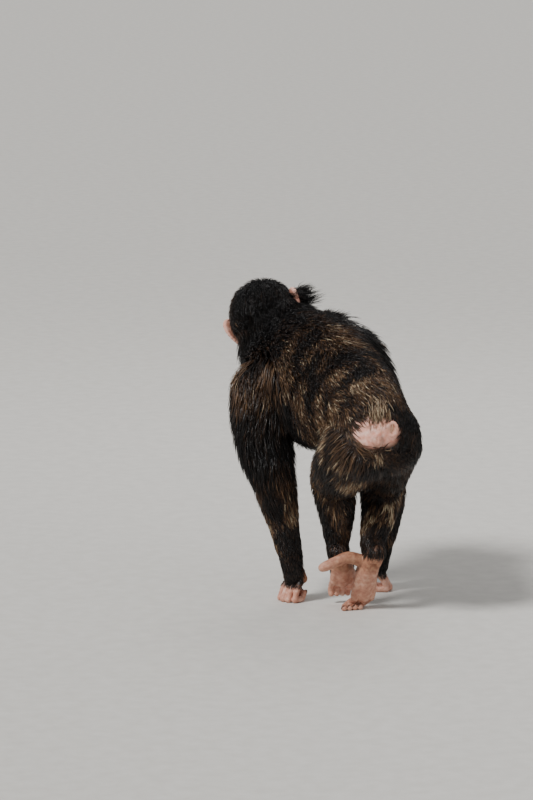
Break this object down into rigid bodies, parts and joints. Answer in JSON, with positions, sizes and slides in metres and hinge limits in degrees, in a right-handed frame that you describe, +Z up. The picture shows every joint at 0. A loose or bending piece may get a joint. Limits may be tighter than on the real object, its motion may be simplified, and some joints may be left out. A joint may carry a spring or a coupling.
{
  "type": "young chimpanzee",
  "caption": "Life-size still figure of a young chimpanzee knuckle-walking, with a long dark coat, large bare ears and bare pink hands and feet.",
  "frame": {"origin": "on the floor under the middle of the figure's bounding box", "axes": "+Z up; the figure walks towards -Y, so its left side is towards +X"},
  "size_m": [0.3684, 0.6153, 0.6286],
  "materials": {
    "coat": "long coarse hair, dark brown to black",
    "bare_skin": "matt creased skin",
    "ear_skin": "matt thin skin",
    "eye": "wet gloss"
  },
  "bodies": {
    "root": {"head": "coat", "neck": "coat", "chest": "coat", "belly": "coat", "pelvis": "coat", "upper_arm_left": "coat", "forearm_left": "coat", "hand_left": "bare_skin", "upper_arm_right": "coat", "forearm_right": "coat", "hand_right": "bare_skin", "thigh_left": "coat", "shank_left": "coat", "foot_left": "bare_skin", "thigh_right": "coat", "shank_right": "coat", "foot_right": "bare_skin", "ear_left": "ear_skin", "ear_right": "ear_skin", "eye_left": "eye", "eye_right": "eye"}
  },
  "joints": []
}
